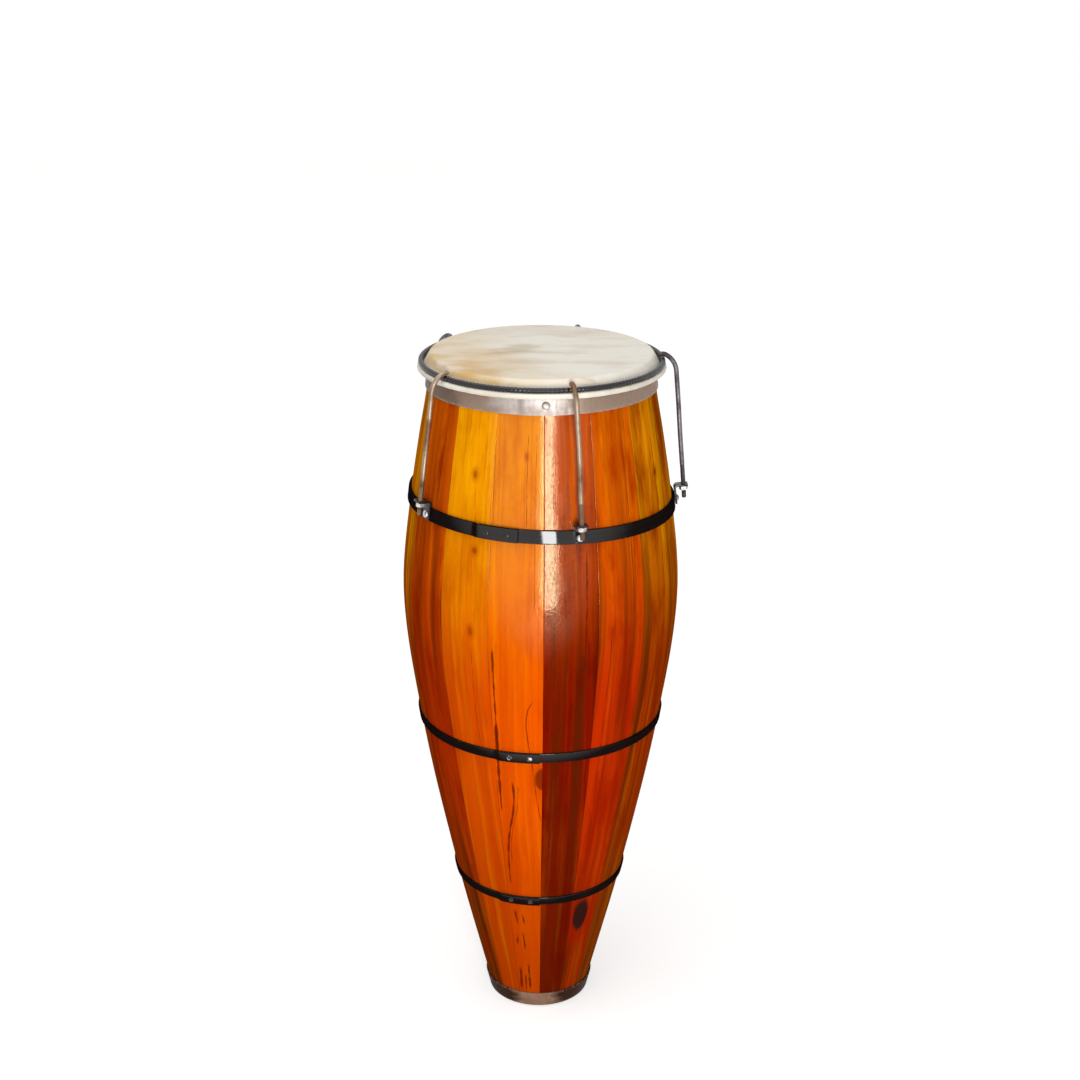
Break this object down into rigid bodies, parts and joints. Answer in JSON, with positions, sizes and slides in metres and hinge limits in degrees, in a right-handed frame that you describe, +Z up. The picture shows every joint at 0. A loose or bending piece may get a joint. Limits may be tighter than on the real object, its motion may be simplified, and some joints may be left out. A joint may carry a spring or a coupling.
{
  "type": "atabaque drum",
  "caption": "Tall barrel drum of bent wooden staves held by metal hoops, open at the foot, with a rawhide head drawn down by a crown ring, tension hooks, brackets and nuts.",
  "frame": {"origin": "middle of the foot, on the floor", "axes": "+Z up along the drum's axis, -Y towards the front, +X to the right seen from the front"},
  "size_m": [0.3625, 0.357, 0.9],
  "materials": {
    "varnished_wood": "glossy amber varnish over staves of mixed tone",
    "bare_steel": "bare galvanised band, dull and lightly stained",
    "black_paint": "black brushed-on paint, worn at the edges",
    "black_iron": "black ribbed iron rod",
    "rawhide": "cream rawhide with tan blotches",
    "rod_steel": "dull rod steel, lightly rusted",
    "zinc": "bright zinc plate",
    "flesh_iron": "plain iron rod inside the hide's roll"
  },
  "bodies": {
    "shell": {"stave_01": "varnished_wood", "stave_02": "varnished_wood", "stave_03": "varnished_wood", "stave_04": "varnished_wood", "stave_05": "varnished_wood", "stave_06": "varnished_wood", "stave_07": "varnished_wood", "stave_08": "varnished_wood", "stave_09": "varnished_wood", "stave_10": "varnished_wood", "stave_11": "varnished_wood", "stave_12": "varnished_wood", "stave_13": "varnished_wood", "stave_14": "varnished_wood", "stave_15": "varnished_wood", "stave_16": "varnished_wood", "foot_hoop": "bare_steel", "foot_hoop_rivet_1": "bare_steel", "foot_hoop_rivet_2": "bare_steel", "lower_hoop": "black_paint", "lower_hoop_rivet_1": "black_paint", "lower_hoop_rivet_2": "black_paint", "middle_hoop": "black_paint", "middle_hoop_rivet_1": "black_paint", "middle_hoop_rivet_2": "black_paint", "tension_hoop": "black_paint", "tension_hoop_rivet_1": "black_paint", "tension_hoop_rivet_2": "black_paint", "mouth_hoop": "bare_steel", "mouth_hoop_rivet_1": "bare_steel", "bracket_front": "black_paint", "bracket_right": "black_paint", "bracket_rear_right": "black_paint", "bracket_rear_left": "black_paint", "bracket_left": "black_paint", "bracket_rivet_front": "zinc", "bracket_rivet_right": "zinc", "bracket_rivet_rear_right": "zinc", "bracket_rivet_rear_left": "zinc", "bracket_rivet_left": "zinc"},
    "head": {"hide": "rawhide", "flesh_hoop": "flesh_iron", "crown_ring": "black_iron"},
    "front_hook": {"hook_front": "rod_steel"},
    "front_nut": {"nut_front": "zinc"},
    "right_hook": {"hook_right": "rod_steel"},
    "right_nut": {"nut_right": "zinc"},
    "rear_right_hook": {"hook_rear_right": "rod_steel"},
    "rear_right_nut": {"nut_rear_right": "zinc"},
    "rear_left_hook": {"hook_rear_left": "rod_steel"},
    "rear_left_nut": {"nut_rear_left": "zinc"},
    "left_hook": {"hook_left": "rod_steel"},
    "left_nut": {"nut_left": "zinc"}
  },
  "joints": [
    {"name": "head_tension", "type": "slide", "parent": "shell", "child": "head", "axis": [0, 0, 1], "range_m": [0, 0.01]},
    {"name": "front_hook_draw", "type": "slide", "parent": "shell", "child": "front_hook", "axis": [-0.0506, 0.077, 0.9957], "range_m": [0, 0.01008]},
    {"name": "front_nut_turn", "type": "hinge", "parent": "shell", "child": "front_nut", "pos_m": [0.04825, -0.17297, 0.72749], "axis": [-0.0506, 0.077, 0.9957], "range_deg": [-3627, 0]},
    {"name": "right_hook_draw", "type": "slide", "parent": "shell", "child": "right_hook", "axis": [-0.0888, 0, 0.996], "range_m": [0, 0.01008]},
    {"name": "right_nut_turn", "type": "hinge", "parent": "shell", "child": "right_nut", "pos_m": [0.1801, 0, 0.72342], "axis": [-0.0888, 0, 0.996], "range_deg": [-3627, 0]},
    {"name": "rear_right_hook_draw", "type": "slide", "parent": "shell", "child": "rear_right_hook", "axis": [-0.0418, -0.0786, 0.996], "range_m": [0, 0.01008]},
    {"name": "rear_right_nut_turn", "type": "hinge", "parent": "shell", "child": "rear_right_nut", "pos_m": [0.05831, 0.16989, 0.72719], "axis": [-0.0418, -0.0786, 0.996], "range_deg": [-3627, 0]},
    {"name": "rear_left_hook_draw", "type": "slide", "parent": "shell", "child": "rear_left_hook", "axis": [0.069, -0.052, 0.9963], "range_m": [0, 0.01008]},
    {"name": "rear_left_nut_turn", "type": "hinge", "parent": "shell", "child": "rear_left_nut", "pos_m": [-0.14281, 0.10761, 0.73347], "axis": [0.069, -0.052, 0.9963], "range_deg": [-3627, 0]},
    {"name": "left_hook_draw", "type": "slide", "parent": "shell", "child": "left_hook", "axis": [0.1143, -0.0141, 0.9933], "range_m": [0, 0.01008]},
    {"name": "left_nut_turn", "type": "hinge", "parent": "shell", "child": "left_nut", "pos_m": [-0.14644, -0.1026, 0.73356], "axis": [0.1143, -0.0141, 0.9933], "range_deg": [-3627, 0]}
  ],
  "couplings": [
    {"joint": "front_hook_draw", "follows": "head_tension", "ratio": 1.0043},
    {"joint": "front_nut_turn", "follows": "head_tension", "rad_per_m": -6310},
    {"joint": "right_hook_draw", "follows": "head_tension", "ratio": 1.004},
    {"joint": "right_nut_turn", "follows": "head_tension", "rad_per_m": -6308.1},
    {"joint": "rear_right_hook_draw", "follows": "head_tension", "ratio": 1.004},
    {"joint": "rear_right_nut_turn", "follows": "head_tension", "rad_per_m": -6308.2},
    {"joint": "rear_left_hook_draw", "follows": "head_tension", "ratio": 1.0037},
    {"joint": "rear_left_nut_turn", "follows": "head_tension", "rad_per_m": -6306.8},
    {"joint": "left_hook_draw", "follows": "head_tension", "ratio": 1.0067},
    {"joint": "left_nut_turn", "follows": "head_tension", "rad_per_m": -6325.3}
  ]
}
